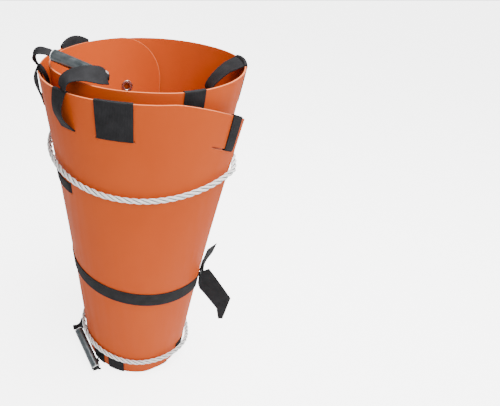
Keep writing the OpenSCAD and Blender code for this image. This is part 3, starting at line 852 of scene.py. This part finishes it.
# Handles: a tube with end rings on webbing that hangs from two anchor loops
ANCHORS = [LOOPS[k][0] for k in ("left_anchor", "right_anchor")]
HINGE_SKEW = (ANCHORS[1] - ANCHORS[0]) / 2
FOOT_HINGE_N = LOOP_N + WEB_T / 2 + GAP + HEM_R + HEM_LEN / 2 * sin(radians(HINGE_SKEW))
TOP_HINGE = [place(a, edge(a, True) + 2 * GAP + WEB_T + HEM_R) for a in ANCHORS]
FOOT_HINGE = [place(a, FOOT + HEM_R, FOOT_HINGE_N) for a in ANCHORS]


def grip_ends(points, edge_z):
    a, b = (place(angle, edge_z, off) + Vector((0, 0, over)) for angle, over, off in points)
    half = (b - a).normalized() * TUBE_LEN / 2
    return [(a + b) / 2 - half, (a + b) / 2 + half]


def strap_end(end, side, tube_end, way, hems):
    """Strap from the bunched webbing at a tube's end to its hem, the first of the two on the hinge line."""
    straight, drawn, hang, wide, first_w, turned = HANDLE_STRAPS[end, side]
    axis = (hems[1] - hems[0]).normalized()
    start = tube_end + way * (CORE_PAST - CORE_JOIN)
    route = [start, start + way * straight + Vector(drawn), hems[0] + Vector(hang), hems[0]]
    first = Vector(turned) if turned else way.cross(Vector((0, 0, 1))).normalized()
    first = -first if first.dot(axis) < 0 else first
    steps = shares(HANDLE_STRAP_STEPS)
    points = [bezier(route, f) for f in steps]
    wides = [mix(first, axis, smooth(f)) for f in steps]
    widths = [mix(first_w, wide, smooth(f / HANDLE_STRAP_OPENS)) for f in steps]
    webbing_piece(f"{end}_strap_{side}", band(points, wides, widths), f"{end}_handle")


def bunch(name, body, path, r, nodes=()):
    """Bunched webbing: a cord with the folds of the gathered strap along it."""
    ring = []
    for k in range(FOLD_SIDES):
        f = 2 * pi * k / FOLD_SIDES
        out = r * (1 - FOLD_DEPTH + FOLD_DEPTH * cos(FOLDS * f))
        ring.append((out * cos(f), out * sin(f)))
    finish_piece(name, sweep(path, lambda f: ring), body, [WEBBING], nodes)


def make_grip(end, grip, u):
    tube = [(BORE_R, 0), (TUBE_R, 0), (TUBE_R, TUBE_LEN), (BORE_R, TUBE_LEN)]
    finish_piece(f"{end}_grip_tube", lathe(tube, grip[0], u), f"{end}_grip", [TUBE],
                 [f"{end}_handle_tube"], bevel=TUBE_SOFT)
    ring = [(BORE_R - END_RING_WALL, -END_RING_LIP), (TUBE_R, -END_RING_LIP), (TUBE_R, 0), (BORE_R, 0),
            (BORE_R, END_RING_LEN), (BORE_R - END_RING_WALL, END_RING_LEN)]
    finish_piece(f"{end}_grip_ring_left", lathe(ring, grip[0], u), f"{end}_grip", [PALE_RING],
                 [f"{end}_handle_rings"], bevel=END_RING_SOFT)
    finish_piece(f"{end}_grip_ring_right", lathe(ring, grip[1], -u), f"{end}_grip", [PALE_RING],
                 bevel=END_RING_SOFT)


def make_handle(end, grip, hinge):
    u = (grip[1] - grip[0]).normalized()
    h = (hinge[1] - hinge[0]).normalized()
    make_grip(end, grip, u)
    body = f"{end}_handle"
    core = line(grip[0] - u * CORE_PAST, grip[1] + u * CORE_PAST, CORE_STEPS)
    bunch(f"{end}_handle_core", body, core, CORE_R, [f"{end}_handle_webbing"])
    for side, p in zip(("left", "right"), hinge):
        hem = line(p - h * HEM_LEN / 2, p + h * HEM_LEN / 2, HEM_STEPS)
        bunch(f"{end}_hem_{side}", body, hem, HEM_R)
    strap_end(end, "left", grip[0], -u, hinge)
    strap_end(end, "right", grip[1], u, hinge[::-1])


def make_handles():
    make_handle("top", grip_ends(TOP_GRIP_LINE, RIM), TOP_HINGE)
    make_handle("foot", grip_ends(FOOT_GRIP_LINE, FOOT), FOOT_HINGE)


# Roll strap with its ring, its hanging tail and its standing end
def ring_seat():
    """How far out the roll strap comes under the ring's front post."""
    seats = []
    for k in range(2 * RING_SPAN + 1):
        turn = k / 2 - RING_SPAN
        for side in (-1, 1):
            r = wrap_radius(RING_ANGLE + turn, STRAP_Z + side * WEB_W / 2) + LOOP_N + WEB_T / 2
            if abs(r * sin(radians(turn)) + POST_Y) < POST_R / 2:
                seats.append(r * cos(radians(turn)))
    return max(seats)


RING_OUT = ring_seat() + GAP + POST_R


def from_ring(x, y, z):
    """A point given outwards from, along the strap beside and above the middle of the ring."""
    c, s = cos(radians(RING_ANGLE)), sin(radians(RING_ANGLE))
    return Vector(((RING_OUT + x) * c - y * s, (RING_OUT + x) * s + y * c, STRAP_Z + z))


def make_roll_strap():
    angles = range(0, 360 + STRAP_TURN_STEP, STRAP_TURN_STEP)
    heights = line(-WEB_W / 2, WEB_W / 2, WEB_CELLS)

    def spot(a, h):
        z = STRAP_Z + STRAP_RISE * (1 - cos(radians(a - RING_ANGLE))) + h
        r = wrap_radius(a % 360, z) + LOOP_N
        return Vector((r * cos(radians(a)), r * sin(radians(a)), z))

    bm = grid(angles, heights, spot, join=True,
              uv=lambda i, j: (heights[j] * MM, radians(angles[i]) * ROLL_R * MM))
    webbing_piece("roll_strap_webbing", bm, "roll", ["roll_strap"])


def make_ring():
    """Wire ring whose front post has a thinner neck, on which the tail's eye turns."""
    corners = [(-POST_Y, -BAR_Z), (POST_Y, -BAR_Z), (POST_Y, BAR_Z), (-POST_Y, BAR_Z)]
    path = []
    thick = []
    for (y, z), (y2, z2) in zip(corners, corners[1:] + corners[:1]):
        for f in RING_SHARES:
            path.append(from_ring(0, mix(y, y2, f), mix(z, z2, f)))
            neck = y == y2 == -POST_Y and NECK_SHARE[0] < f < NECK_SHARE[1]
            thick.append(NECK_R if neck else BAR_R)

    def section(f):
        return circle(thick[round(f * len(path)) % len(path)], WIRE_SIDES)

    finish_piece("roll_strap_ring", sweep(path, section, True), "roll", [BLACK_METAL],
                 ["strap_ring"])


def make_tail():
    """Flat strap held on the front post, with its blunt end cut to a taper."""
    along, across = (shares(n) for n in TAIL_CELLS)

    def straight(rows, f):
        i = max(k for k in range(len(rows) - 1) if rows[k][0] <= f)
        g = (f - rows[i][0]) / (rows[i + 1][0] - rows[i][0])
        return Vector((mix(rows[i][1], rows[i + 1][1], g), mix(rows[i][2], rows[i + 1][2], g)))

    def flat(f, v):
        return mix(straight(TAIL_LOW, f), straight(TAIL_HIGH, f), v)

    def spot(f, v):
        x, z = flat(f, v)
        return from_ring(x, -POST_Y + TAIL_WAVE * sin(2 * pi * f) * smooth(f / TAIL_HELD), z)

    def uv(i, j):
        x, z = flat(along[i], across[j])
        out, up = TAIL_WAY
        return ((-up * x + out * z) * MM, (out * x + up * z) * MM)

    webbing_piece("strap_tail_webbing", grid(along, across, spot, uv=uv), "tail", ["strap_tail"])
    eye = [(NECK_R + RUN, -TAIL_EYE), (POST_R, -TAIL_EYE), (POST_R, TAIL_EYE), (NECK_R + RUN, TAIL_EYE)]
    bm = lathe(eye, from_ring(0, -POST_Y, 0), Vector((0, 0, 1)), TAIL_EYE_SIDES)
    finish_piece("strap_tail_eye", bm, "tail", [WEBBING], bevel=TAIL_EYE_SOFT)


def make_tab():
    """Standing end of the roll strap: an eye round the ring's upper bar, then up, leaning and turning."""
    lean = radians(TAB_LEAN)
    way = Vector((sin(lean), cos(lean)))
    start = EYE_MID * Vector((way.y, -way.x))
    eye = []
    for k in range(TAB_EYE_SPAN // TAB_EYE_STEP + 1):
        b = radians(TAB_EYE_STEP * k - TAB_EYE_SPAN - TAB_LEAN)
        eye.append((EYE_MID * cos(b), EYE_MID * sin(b)))
    rise = [start + TAB_LEN * way * f + Vector((TAB_BOW, 0)) * f * f for f in TAB_SHARES]
    points = [from_ring(x, 0, BAR_Z + h) for x, h in eye + rise]
    past = [max(0, k - len(eye) + 1) / len(rise) for k in range(len(points))]
    wides = [from_ring(TAB_TURN * smooth(f / TAB_TURNED), 1, 0) - from_ring(0, 0, 0) for f in past]
    webbing_piece("strap_tab_webbing", band(points, wides, [WEB_W] * len(points)), "tab", ["strap_tab"])


def make_tie_strap():
    path = [(TIE_FROM + a, n) for a, n in TIE_END]
    path += [(a, LOOP_N) for a in range(int(TIE_FROM) + TIE_SETTLE, int(TIE_TO) - TIE_SETTLE + 1, TIE_STEP)]
    path += [(TIE_TO - a, n) for a, n in reversed(TIE_END)]
    points = [place(a, TIE_Z, n) for a, n in path]
    wides = [place(a, TIE_Z + TIE_W / 2) - place(a, TIE_Z - TIE_W / 2) for a, n in path]
    webbing_piece("tie_strap_webbing", band(points, wides, [TIE_W] * len(points)), "roll", ["tie_strap"])


# Eyelets near the inner end: a barrel with a flange inside and a washer outside
def make_eyelet(end, z):
    centre = place(EYELET_ANGLE, z)
    up = place(EYELET_ANGLE, z + 1) - place(EYELET_ANGLE, z - 1)
    out = Vector((-sin(radians(EYELET_ANGLE)), cos(radians(EYELET_ANGLE)), 0)).cross(up).normalized()
    low = FLANGE_N - FLANGE_T
    flange = [(EYELET_R, low + EYELET_EASE), (EYELET_R + EYELET_EASE, low),
              (FLANGE_R - FLANGE_EASE[0], low + FLANGE_EASE[1]), (FLANGE_R, FLANGE_N), (BARREL_R, FLANGE_N)]
    top = LIP_N + LIP_T
    lip = [(BARREL_R, LIP_N), (BARREL_R + LIP_W, LIP_N),
           (BARREL_R + LIP_W - LIP_EASE[0], top - LIP_EASE[1]), (EYELET_R + EYELET_EASE, top),
           (EYELET_R, top - LIP_ROLL)]
    finish_piece(f"{end}_eyelet_barrel", lathe(flange + lip, centre, out), "roll", [NICKEL],
                 [f"{end}_eyelet"], bevel=EYELET_SOFT)
    washer = [(BARREL_R + RUN, WASHER_N), (FLANGE_R, WASHER_N),
              (FLANGE_R - WASHER_EASE, WASHER_N + FLANGE_T), (BARREL_R + RUN, WASHER_N + FLANGE_T)]
    finish_piece(f"{end}_eyelet_washer", lathe(washer, centre, out), "roll", [NICKEL],
                 [f"{end}_washer"], bevel=EYELET_SOFT)


def make_eyelets():
    make_eyelet("top", edge(EYELET_ANGLE, True) - EYELET_DEPTH)
    make_eyelet("foot", edge(EYELET_ANGLE, False) + EYELET_DEPTH)


studio()
make_ropes()
make_sheet()
make_loops()
make_handles()
make_roll_strap()
make_ring()
make_tail()
make_tab()
make_tie_strap()
make_eyelets()
